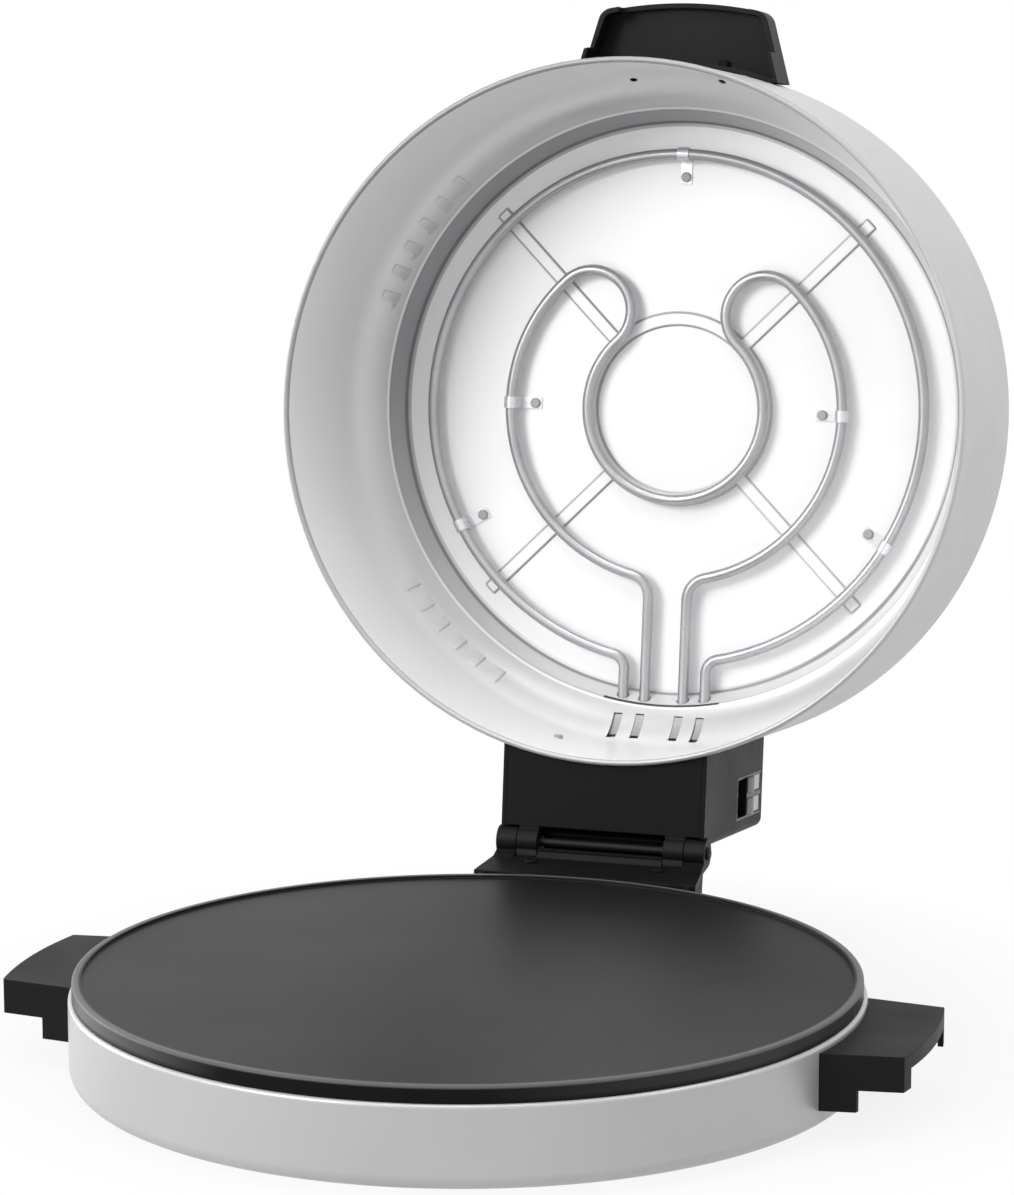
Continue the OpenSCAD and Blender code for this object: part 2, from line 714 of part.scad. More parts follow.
// ---------------------------------------------------------------- lid
module lid_shell() {
    color(silver) on_lid() difference() {
        rotate_extrude() {
            square_at(lid_r - lid_t, bead_r, lid_t, lid_depth - shoulder_r - bead_r);
            translate([lid_r - shoulder_r, lid_depth - shoulder_r]) quarter_ring(shoulder_r, lid_t, 1, 1);
            square_at(0, lid_depth - lid_t, lid_r - shoulder_r, lid_t);
            translate([lid_r - bead_r + 0.4, bead_r]) circle(bead_r, $fn = 32);
        }
        for (x = leg_xs) out_y(x, lid_r - 20, tube_z) cylinder(h = 30, r = bush_r);
        lid_handle_frame() for (k = [-1, 1]) handle_screw_axis(k, lid_r, lid_screw_rise) translate([0, 0, -3])
            cylinder(h = 6, r = 2 + screw_slack);
        for (p = housing_screw_at) out_y(p[0], lid_r - 20, p[1])
            cylinder(h = 30, r = 1.5 + screw_slack);
    }
}

leg_xs = [-outer_leg_x, -inner_leg_x, inner_leg_x, outer_leg_x];
bush_r = tube_d / 2 + 1.2;
bush_flange_r = min(bush_r + 1.4, housing_z1 - housing_t - 0.2 - tube_z);
housing_screw_at = [[-46, 63], [-26, 111], [26, 111]];
housing_head_r = 2.6;

module lid_handle_frame() {
    translate([0, 0, lid_depth - lid_handle_drop]) rotate([0, 0, 180]) children();
}

// Reflector profile: wall, round shoulder, step and floor
module liner_profile() {
    square_at(liner_in_r, 2 * bead_r + 0.6, liner_t, arc_z - 2 * bead_r - 0.6);
    translate([liner_in_r - louvre_r, arc_z]) intersection() {
        difference() {
            circle(arc_out_r);
            circle(louvre_r);
        }
        polygon([[0, 0], [60, 0], [60, 60], [60 / tan(arc_turn), 60]]);
    }
    polygon([[step_r + 0.2, step_z], [step_r + liner_t + 0.3, step_z + 0.6],
        [floor_r + liner_t, floor_z], [floor_r, floor_z + liner_t], [floor_r - liner_t, floor_z]]);
    square_at(0, floor_z, floor_r, liner_t);
}

// Frame on the shoulder: +X out of the arc's centre at the angle t, +Y along the rim
module shoulder_frame(a, t) {
    rotate([0, 0, a]) translate([liner_in_r - louvre_r, 0, arc_z]) rotate([0, -t, 0]) children();
}

// Each group of louvres: first angle, step, place round the shoulder and steep side
louvre_groups = [[19, louvre_pitch, 53, 1], [161, -louvre_pitch, 53, -1],
    [-35.5, -hinge_louvre_pitch, 39, -1], [-144.5, hinge_louvre_pitch, 39, 1]];
rib_angles = [45:90:315];
leg_slot_w = 5.2;
louvre_w = 6.6;
louvre_h = 1.5;

// Pressed hood along the shoulder, steep on the side s
module louvre_hood(s) {
    half_a = louvre_len / louvre_r * 90 / PI;
    rotate([90, 0, 0]) rotate([0, 0, -half_a]) rotate_extrude(angle = 2 * half_a)
        polygon([[louvre_r + 0.3, -s * louvre_w / 2], [louvre_r - 0.1, -s * louvre_w / 2],
            [louvre_r - louvre_h, s * (louvre_w / 2 - 1)], [louvre_r - louvre_h + 0.3, s * (louvre_w / 2 - 0.4)],
            [louvre_r + 0.3, s * louvre_w / 2]]);
}

module lid_liner() {
    rib_h = 1.2;
    arm_end = outer_r + 9.5;
    color("white") on_lid() difference() {
        union() {
            rotate_extrude() liner_profile();
            // pressed ring and four arms on the floor
            intersection() {
                translate([0, 0, floor_z - rib_h]) {
                    difference() {
                        cylinder(h = rib_h + eps, r = ring_r);
                        translate([0, 0, -1]) cylinder(h = 4, r = ring_r - rib_w);
                    }
                    for (a = rib_angles) rotate([0, 0, a])
                        bar([ring_r - 2, -rib_w / 2, 0], [arm_end, rib_w / 2, rib_h + eps]);
                }
                cylinder(h = 200, r = floor_r);
            }
            for (g = louvre_groups, i = [0:louvres - 1])
                shoulder_frame(-g[0] - g[1] * i, g[2]) louvre_hood(g[3]);
        }
        // holes for the heater legs in the step, a slit below them and slots in the shoulder
        for (x = leg_xs) {
            out_y(x, floor_r - 14, tube_z) cylinder(h = 24, r = tube_d / 2 + 0.5);
            bar([x - leg_slot_w / 2, step_r + 5.5, arc_z - 2], [x + leg_slot_w / 2, liner_in_r - 3.2, step_z + 2]);
        }
        bar([-outer_leg_x - 10, step_r - 12, step_z + 0.2], [outer_leg_x + 10, step_r + 4, step_z + 1.6]);
        lid_handle_frame() for (k = [-1, 1]) handle_screw_axis(k, lid_r, lid_screw_rise) translate([0, 0, -14])
            cylinder(h = 12, r = 2.2);
        for (p = housing_screw_at) if (p[1] < 80) out_y(p[0], lid_r - 20, p[1])
            cylinder(h = 30, r = housing_head_r + 0.3);
        for (p = clip_places) clip_frame(p) translate([p[0] - clip_reach, 0, 0])
            cylinder(h = 20, r = 1.5, center = true);
    }
}

module element_outer() {
    color(steel) on_lid() translate([0, 0, tube_z]) {
        loop_tube(outer_r, tube_d / 2, outer_leg_x, outer_bend, leg_in_y);
        for (s = [-1, 1])
            tube_line([s * outer_leg_x, leg_in_y - 2], [s * outer_leg_x, pin_tip_y], 1.25);
    }
}

module element_inner() {
    cx = inner_leg_x + mid_bend;
    cy = sqrt(pow(mid_r + mid_bend, 2) - cx * cx);
    a = atan2(cx, cy);
    r = tube_d / 2;
    hc = mid_r - hairpin_r;
    color(steel) on_lid() translate([0, 0, tube_z]) {
        leg_bends(inner_leg_x, mid_bend, cx, cy, a, r, leg_in_y);
        for (s = [-1, 1]) {
            // middle arc from the leg bend round to the hairpin
            tube_arc(mid_r, r, s > 0 ? -90 + hairpin_a : 90 + a, 180 - hairpin_a - a);
            rotate([0, 0, -90 + s * hairpin_a]) translate([hc, 0, 0])
                tube_arc(hairpin_r, r, s > 0 ? 180 : 0, 180);
            for (q = [inner_r, mid_r])
                collar(q * [s * sin(hairpin_a), -cos(hairpin_a)], [cos(hairpin_a), s * sin(hairpin_a)], r);
            tube_line([s * inner_leg_x, leg_in_y - 2], [s * inner_leg_x, pin_tip_y], 1.25);
        }
        tube_arc(inner_r, r, -90 + hairpin_a, 360 - 2 * hairpin_a);
    }
}

clip_reach = 13.5;
clip_w = 7;
clip_t = 0.8;
clip_places = [[outer_r, -90], [outer_r, 30], [outer_r, 150], [mid_r, 0], [mid_r, 180]];

module clip_frame(p) { translate([0, 0, floor_z]) rotate([0, 0, p[1]]) children(); }

// Strap that holds the tube up from the floor
module element_clips() {
    rr = tube_d / 2 + 0.1;
    pad_top = -clip_t;
    color(silver) on_lid() for (p = clip_places) clip_frame(p) difference() {
        translate([0, clip_w / 2, 0]) rotate([90, 0, 0]) linear_extrude(clip_w) {
            translate([p[0], -tube_lift]) difference() {
                circle(rr + clip_t, $fn = 48);
                circle(rr, $fn = 48);
            }
            // riser from the pad to the underside of the tube
            polygon([[p[0] - clip_reach - 4, 0], [p[0] - clip_reach - 4, pad_top],
                [p[0] - 4, pad_top], [p[0] - 1, -tube_lift + rr + 0.2], [p[0] + 1, -tube_lift + rr + 0.2],
                [p[0] - 3, 0]]);
        }
        translate([p[0] - clip_reach, 0, 0]) cylinder(h = 20, r = 1.5 + screw_slack, center = true);
    }
}

module clip_screws() {
    color(steel) on_lid() for (p = clip_places) clip_frame(p) translate([p[0] - clip_reach, 0, -clip_t])
        rotate([180, 0, 0]) pan_head_screw(3, 1.8, 1.5, clip_t + liner_t + 2.6);
}

// Bushes that carry the heater legs through the shell
module element_bushes() {
    color(black) on_lid() for (x = leg_xs) out_y(x, 0, tube_z) difference() {
        union() {
            translate([0, 0, lid_r - 4]) cylinder(h = 14, r = bush_r - 0.1);
            translate([0, 0, lid_r + 0.2]) cylinder(h = 4, r = bush_flange_r);
        }
        cylinder(h = 300, r = tube_d / 2 + 0.05);
    }
}

module lid_handle() {
    color(black) on_lid() lid_handle_frame() handle(lid_r, handle_reach - 1, lid_handle_corner,
        lid_handle_half_in, lid_handle_half_out, lid_screw_rise);
}

module lid_handle_screws() {
    color(steel) on_lid() lid_handle_frame() handle_screws(lid_r, lid_t, lid_screw_rise);
}

// ---------------------------------------------------------------- hinge housing
module housing_plan(inset) {
    x = housing_half - inset;
    y = housing_y - inset;
    r = housing_corner - inset;
    difference() {
        union() {
            square_at(-x, 0, 2 * x, y - r);
            square_at(-x + r, 0, 2 * (x - r), y);
            for (s = [-1, 1]) translate([s * (x - r), y - r]) circle(r, $fn = 48);
        }
        circle(lid_r + 0.1);
        translate([-100, -1]) square([200, lid_r * cos(asin(housing_half / lid_r)) - 2]);
    }
}

module hinge_relief() {
    along_x(-100, 100) translate([hinge_y, hinge_rise]) circle(relief_r);
}

module hinge_housing() {
    color(black) on_lid() difference() {
        union() {
            difference() {
                translate([0, 0, housing_z0]) linear_extrude(housing_z1 - housing_z0) housing_plan(0);
                translate([0, 0, housing_z0 - 1]) linear_extrude(housing_z1 - housing_z0 + 1 - housing_t)
                    housing_plan(housing_t);
            }
            // posts for the screws from the lid
            for (p = housing_screw_at) out_y(p[0], lid_r - 12, p[1])
                cylinder(h = housing_y - housing_t / 2 - lid_r + 12, r = 4);
        }
        cylinder(h = 200, r = lid_r + 0.1);
        for (p = housing_screw_at) out_y(p[0], lid_r - 12, p[1]) cylinder(h = 22, r = 1.5);
        hinge_relief();
        // pocket of the switches
        bar([housing_half - 9, rocker_y - pocket_half_y, switch_z0],
            [housing_half + 1, rocker_y + pocket_half_y, switch_z1]);
        // cord gland
        translate([-housing_half - 1, gland_y, gland_z]) rotate([0, 90, 0])
            cylinder(h = housing_t + 2, r = gland_neck_r);
    }
}

gland_y = (lid_r + housing_y) / 2 + 3;
gland_z = housing_z1 - 30;
gland_neck_r = gland_bore_r + 3;

// Front plate of the housing with the lid knuckles and the stop heels
module housing_base() {
    in = housing_t + 0.2;
    color(black) on_lid() difference() {
        union() {
            difference() {
                translate([0, 0, housing_z0]) linear_extrude(housing_t + 0.5) housing_plan(in);
                translate([0, 0, housing_z0 - 1]) bar([-100, base_plate_y, 0], [100, 400, 10]);
            }
            for (s = [-1, 1]) {
                x0 = s > 0 ? inner_knuckle_x : -inner_knuckle_x - knuckle_l;
                along_x(x0, x0 + knuckle_l) {
                    translate([hinge_y, hinge_rise]) circle(knuckle_r);
                    polygon([[base_plate_y - 12, housing_z0], [hinge_y, housing_z0],
                        [hinge_y, hinge_rise + knuckle_r - 1],
                        [base_plate_y - 12, hinge_rise + knuckle_r - 1]]);
                }
            }
        }
        along_x(-100, 100) translate([hinge_y, hinge_rise]) circle(pin_d / 2 + pin_gap);
    }
    color(black) on_base() for (s = [-1, 1]) {
        x0 = s > 0 ? inner_knuckle_x : -inner_knuckle_x - knuckle_l;
        heel_y = bracket_rear_y + stop_gap;
        along_x(x0, x0 + knuckle_l) difference() {
            polygon([[heel_y, bracket_rear_z - bracket_t], [heel_y, bracket_rear_z + 0.5],
                [hinge_y - knuckle_r + 1, hinge_z - 2], [hinge_y, hinge_z - 3],
                [hinge_y, hinge_z - knuckle_r], [heel_y + 4, bracket_rear_z - bracket_t]]);
            translate([hinge_y, hinge_z]) circle(pin_d / 2 + pin_gap);
        }
    }
}

module housing_screws() {
    color(steel) on_lid() for (p = housing_screw_at) {
        y = sqrt(lid_r * lid_r - p[0] * p[0]) - lid_t - 1.2;
        out_y(p[0], y, p[1]) rotate([180, 0, 0]) pan_head_screw(housing_head_r, 1.8, 1.5, 12);
    }
}

module switch_frame() {
    x0 = housing_half - 8;
    y0 = rocker_y - pocket_half_y + 0.1;
    y1 = rocker_y + pocket_half_y - 0.1;
    color(black) on_lid() difference() {
        bar([x0, y0, switch_z0 + 0.1], [housing_half, y1, switch_z1 - 0.1]);
        // finger recess beside the rockers
        bar([x0 + 2, y0 + 1.5, switch_z0 + 1.6], [housing_half + 1, y1 - 1.5, rocker_z - rocker_l / 2 - 3]);
        for (k = [-1, 1]) translate([rocker_pivot_x, rocker_y + k * rocker_pitch / 2, rocker_z]) {
            bar([-20, -rocker_w / 2 - rocker_gap, -rocker_l / 2 - rocker_gap],
                [20, rocker_w / 2 + rocker_gap, rocker_l / 2 + rocker_gap]);
            rotate([90, 0, 0]) cylinder(h = rocker_w + 2 * rocker_gap + 2, r = 1.06, center = true);
        }
    }
}

// Rocker cap, shown tipped to its off side
module rocker(k) {
    h = rocker_l / 2 * tan(rocker_a);
    r = rocker_l / 2;
    color(silver) on_lid() translate([rocker_pivot_x, rocker_y + k * rocker_pitch / 2, rocker_z])
        rotate([0, -rocker_a, 0]) {
            translate([0, rocker_w / 2, 0]) rotate([90, 0, 0]) linear_extrude(rocker_w) intersection() {
                polygon([[-3, -r], [2.6 + h, -r], [2.6, 0], [2.6 + h, r], [-3, r]]);
                circle(r + 0.2);
            }
            rotate([90, 0, 0]) cylinder(h = rocker_w + 2 * rocker_gap + 1.4, r = 1, center = true);
        }
}

module rocker_upper() { rocker(-1); }
module rocker_lower() { rocker(1); }

module switch_body() {
    x1 = housing_half - 8.2;
    color(black) on_lid() {
        bar([x1 - 12, rocker_y - pocket_half_y + 2, rocker_z - rocker_l / 2],
            [x1, rocker_y + pocket_half_y - 2, rocker_z + rocker_l / 2]);
        for (k = [-1, 1], j = [-1, 1]) translate([x1 - 12, rocker_y + k * rocker_pitch / 2, rocker_z + j * 8])
            bar([-7, -2.4, -0.4], [eps, 2.4, 0.4]);
    }
}

// Thermal cut-out on the lid wall, inside the housing
module lid_thermostat() {
    color(steel) on_lid() out_y(0, 0, lid_depth / 2) {
        difference() {
            translate([0, 0, lid_r - 2]) cylinder(h = 12, r = 8.5);
            rotate([90, 0, 0]) translate([0, 0, -20]) cylinder(h = 40, r = lid_r + 0.2, $fn = 180);
        }
        for (s = [-1, 1]) bar([s * 4 - 0.4, -3, lid_r + 10 - eps], [s * 4 + 0.4, 3, lid_r + 17]);
    }
}

module terminal_block() {
    y = housing_y - housing_t - 0.2;
    color(ceramic) on_lid() difference() {
        bar([-24, y - 12, 88], [24, y, 104]);
        for (x = [-16, 0, 16]) translate([x, y - 6, 80]) cylinder(h = 40, r = 2);
    }
}

module cord_gland() {
    color(black) on_lid() translate([-housing_half, gland_y, gland_z]) rotate([0, 90, 0]) difference() {
        union() {
            translate([0, 0, -5]) cylinder(h = 5, r = gland_neck_r + 2);
            translate([0, 0, -eps]) cylinder(h = housing_t + 6, r = gland_neck_r - 0.1);
            translate([0, 0, housing_t + 0.2]) cylinder(h = 3, r = gland_neck_r + 1.6);
        }
        translate([0, 0, -10]) cylinder(h = 40, r = gland_bore_r);
    }
}

base_band();
base_pan();
cooking_plate();
plate_screws();
spacer_sleeves();
heat_shield();
lower_element();
element_clamps();
plate_thermostat();
side_handle_left();
side_handle_right();
side_handle_screws();
feet();
foot_screws();
hinge_bracket();
hinge_support();
bracket_screws();
hinge_pin();
lid_shell();
lid_liner();
element_outer();
element_inner();
element_clips();
clip_screws();
element_bushes();
lid_handle();
lid_handle_screws();
hinge_housing();
housing_base();
housing_screws();
switch_frame();
switch_body();
rocker_upper();
rocker_lower();
lid_thermostat();
terminal_block();
cord_gland();
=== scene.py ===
"""Looks of the electric pizza maker: camera, light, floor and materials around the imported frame."""
import json
import math

import bmesh
import bpy
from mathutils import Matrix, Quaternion, Vector


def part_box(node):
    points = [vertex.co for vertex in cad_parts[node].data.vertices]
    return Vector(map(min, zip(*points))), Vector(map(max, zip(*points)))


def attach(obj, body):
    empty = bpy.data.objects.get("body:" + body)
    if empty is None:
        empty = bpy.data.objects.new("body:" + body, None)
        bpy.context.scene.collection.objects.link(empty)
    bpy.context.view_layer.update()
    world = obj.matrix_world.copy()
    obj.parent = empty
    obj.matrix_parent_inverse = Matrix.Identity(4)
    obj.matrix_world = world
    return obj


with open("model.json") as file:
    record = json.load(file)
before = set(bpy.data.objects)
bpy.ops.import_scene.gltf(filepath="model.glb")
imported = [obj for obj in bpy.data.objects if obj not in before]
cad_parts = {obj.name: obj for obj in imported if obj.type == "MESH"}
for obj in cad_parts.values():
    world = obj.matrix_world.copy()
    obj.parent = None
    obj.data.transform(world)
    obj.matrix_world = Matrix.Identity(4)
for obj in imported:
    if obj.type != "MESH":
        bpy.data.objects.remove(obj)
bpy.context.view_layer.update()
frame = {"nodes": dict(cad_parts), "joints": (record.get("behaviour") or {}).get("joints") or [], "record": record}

# ---------------------------------------------------------------- places taken from the frame
joints = {joint["name"]: joint for joint in frame["joints"]}
HINGE = Vector(joints["lid_hinge"]["pos_m"])
LID_TURN = -math.radians(joints["lid_hinge"]["range_deg"][1])   # how far the open lid leans back
band_low, band_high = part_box("base_band")
band_radius = (band_high.x - band_low.x) / 2
BASE_AXIS = Vector(((band_low.x + band_high.x) / 2, band_low.y + band_radius, 0))
PIN_OFF_RIM = 0.0075                    # from the plane of the lid's rim to the hinge pin
RIM_TO_PIN = Vector((0, HINGE.y - BASE_AXIS.y, PIN_OFF_RIM))


def lid_point(x, y, z):
    """A point of the lid's own frame in the row frame.

    The lid's frame starts at the centre of its rim, with +Y to the hinge and +Z into the lid.
    """
    point = Vector((x, y, z)) - RIM_TO_PIN
    point.rotate(Quaternion((1, 0, 0), LID_TURN))
    return HINGE + point


LID_CENTRE = lid_point(0, 0, 0)

# the reflector in the lid, as part.scad has it
FLOOR_R, STEP_R = 0.17207, 0.17847      # inner and outer edge of the step round the floor
FLOOR_DEPTH = 0.13                      # deeper than this lies the floor alone
WALL_DEPTH = 0.1                        # less deep than this lies the wall with its louvres
RING_R, ARM_HALF, ARM_END = 0.058, 0.00375, 0.16207     # ring and arms pressed into the floor
ARC_R, ARC_CENTRE = 0.03, (0.1707, 0.09222)     # round shoulder: radius, then its centre's y and z
LEG_XS = (-0.0255, -0.012, 0.012, 0.0255)       # the four slots beside the heater legs
LEG_SLIT_HALF = 0.036                   # half length of the painted dark line of the slit, past the legs
LID_BEAD = 0.0036                       # depth of the lid's rolled rim

plate_low, plate_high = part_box("cooking_plate")
PLATE_TOP = plate_high.z
LIP_R = (plate_high.x - plate_low.x) / 2 - 0.0012       # where the plate's outer wall starts

# ---------------------------------------------------------------- camera
CAMERA_TARGET = Vector((0.02204, -0.11499, 0.26003))
CAMERA_AZIMUTH = math.radians(17.708)
CAMERA_ELEVATION = math.radians(10.710)
CAMERA_DISTANCE = 2.301
CAMERA_ROLL = math.radians(-0.12)
CAMERA_LENS = 134.2
CAMERA_CLIP = (0.05, 50)


def direction(azimuth, elevation):
    """Unit vector from the object towards a viewer; azimuth 0 is in front, 90 on the right."""
    return Vector((math.sin(azimuth) * math.cos(elevation),
                   -math.cos(azimuth) * math.cos(elevation), math.sin(elevation)))


def place_facing(item, target, back, distance, roll=0.0):
    """Puts a camera or lamp at a distance from the target, looking at it."""
    bpy.context.scene.collection.objects.link(item)
    item.location = target + back * distance
    item.rotation_mode = "QUATERNION"
    item.rotation_quaternion = (-back).to_track_quat("-Z", "Y") @ Quaternion((0, 0, 1), roll)


def add_camera():
    data = bpy.data.cameras.new("camera")
    data.lens = CAMERA_LENS
    data.clip_start, data.clip_end = CAMERA_CLIP
    camera = bpy.data.objects.new("camera", data)
    back = direction(CAMERA_AZIMUTH, CAMERA_ELEVATION)
    place_facing(camera, CAMERA_TARGET, back, CAMERA_DISTANCE, CAMERA_ROLL)
    bpy.context.scene.camera = camera


# ---------------------------------------------------------------- node tools
def calculate(tree, operation, *values):
    """One math node, on sockets or plain numbers."""
    made = tree.nodes.new("ShaderNodeMath")
    made.operation = operation
    for socket, value in zip(made.inputs, values):
        if isinstance(value, (int, float)):
            socket.default_value = value
        else:
            tree.links.new(value, socket)
    return made.outputs[0]


def map_range(tree, value, from_low, from_high, low, high):
    """Goes from low to high, and no further, as the value goes from from_low to from_high."""
    made = tree.nodes.new("ShaderNodeMapRange")
    made.clamp = True
    limits = {"From Min": from_low, "From Max": from_high, "To Min": low, "To Max": high}
    for name, number in limits.items():
        made.inputs[name].default_value = number
    tree.links.new(value, made.inputs["Value"])
    return made.outputs["Result"]


def white_surface(tree, kind):
    """A plain white background or emission node of strength 1."""
    made = tree.nodes.new(kind)
    made.inputs["Color"].default_value = (1, 1, 1, 1)
    made.inputs["Strength"].default_value = 1
    return made


def mix_into(tree, output_kind, share, plain, white):
    """The tree's surface: white for the given share, and plain for the rest."""
    mix = tree.nodes.new("ShaderNodeMixShader")
    for socket, value in zip(mix.inputs, (share, plain.outputs[0], white.outputs[0])):
        tree.links.new(value, socket)
    tree.links.new(mix.outputs[0], tree.nodes.new(output_kind).inputs["Surface"])


def seen_rays(tree):
    """1 for the rays that look at a thing, from the camera or by way of a reflection or glass."""
    path = tree.nodes.new("ShaderNodeLightPath")
    total = path.outputs["Is Camera Ray"]
    for name in ("Is Glossy Ray", "Is Transmission Ray"):
        total = calculate(tree, "MAXIMUM", total, path.outputs[name])
    return total


# ---------------------------------------------------------------- light, world and floor
WORLD_FRONT, WORLD_BACK = 0.37, 0.8     # strength of the world's light in front and behind
WORLD_DEPTH_SPAN = (-0.9, 0.6)          # it changes between these
WORLD_ABOVE = 0.05                      # what is added overhead
WORLD_HEIGHT_SPAN = (0.1, 0.9)
LAMP_CENTRE = Vector((0, 0, 0.27))
LAMPS = (                               # name, azimuth, elevation, distance, size, power
    ("key", -35, 27, 2.6, 1.1, 36),
    ("top", 0, 70, 2.4, 1.4, 18),
    ("right", 100, 50, 2.4, 1.4, 13),
    ("left", -100, 8, 2.4, 1.4, 26),
)
FLOOR_HALF = 6.0
FLOOR_GREY = 0.52
FLOOR_FADE = (0.22, 0.36)               # the floor's shadow fades out between these radii
FLOOR_GLOW = 0.84                       # share of pure white inside them; it is 1 outside


def add_lamp(name, azimuth, elevation, distance, size, power):
    data = bpy.data.lights.new(name, "AREA")
    data.shape = "DISK"
    data.size = size
    data.energy = power
    back = direction(math.radians(azimuth), math.radians(elevation))
    place_facing(bpy.data.objects.new(name, data), LAMP_CENTRE, back, distance)


def set_world():
    """White where the camera and reflections see it; for the rest soft light, dimmer in front."""
    world = bpy.data.worlds.new("studio")
    bpy.context.scene.world = world
    world.use_nodes = True
    tree = world.node_tree
    tree.nodes.clear()
    split = tree.nodes.new("ShaderNodeSeparateXYZ")
    tree.links.new(tree.nodes.new("ShaderNodeTexCoord").outputs["Generated"], split.inputs[0])
    depth = map_range(tree, split.outputs["Y"], *WORLD_DEPTH_SPAN, WORLD_FRONT, WORLD_BACK)
    height = map_range(tree, split.outputs["Z"], *WORLD_HEIGHT_SPAN, 0, WORLD_ABOVE)
    soft = white_surface(tree, "ShaderNodeBackground")
    tree.links.new(calculate(tree, "ADD", depth, height), soft.inputs["Strength"])
    white = white_surface(tree, "ShaderNodeBackground")
    mix_into(tree, "ShaderNodeOutputWorld", seen_rays(tree), soft, white)


def add_floor():
    """White table that keeps a soft shadow near the object and fades to pure white away from it."""
    corners = ((-1, -1), (1, -1), (1, 1), (-1, 1))
    mesh = bpy.data.meshes.new("floor")
    mesh.from_pydata([(x * FLOOR_HALF, y * FLOOR_HALF, 0) for x, y in corners], [], [(0, 1, 2, 3)])
    floor = bpy.data.objects.new("floor", mesh)
    bpy.context.scene.collection.objects.link(floor)
    material = bpy.data.materials.new("floor_white")
    material.use_nodes = True
    tree = material.node_tree
    tree.nodes.clear()
    diffuse = tree.nodes.new("ShaderNodeBsdfDiffuse")
    diffuse.inputs["Color"].default_value = (FLOOR_GREY, FLOOR_GREY, FLOOR_GREY, 1)
    length = tree.nodes.new("ShaderNodeVectorMath")
    length.operation = "LENGTH"
    tree.links.new(tree.nodes.new("ShaderNodeTexCoord").outputs["Object"], length.inputs[0])
    fade = map_range(tree, length.outputs["Value"], *FLOOR_FADE, FLOOR_GLOW, 1)
    share = calculate(tree, "MULTIPLY", seen_rays(tree), fade)
    glow = white_surface(tree, "ShaderNodeEmission")
    mix_into(tree, "ShaderNodeOutputMaterial", share, diffuse, glow)
    mesh.materials.append(material)


# ---------------------------------------------------------------- material tools
NOISE_ROUGHNESS = 0.55
NOISE_MIDDLE = (0.3, 0.7)               # a noise lies between these almost everywhere
EDGE_COSINES = (0.995, 0.9)             # no edge, and a full edge, by how far its normal is bent
AWAY_X, AWAY_Y = -0.75, -0.66           # the lid's direction away from the light
LEE_SPAN, LEE_LEAST = (-0.5, 0.8), 0.12         # where its mask grows, and what it starts from


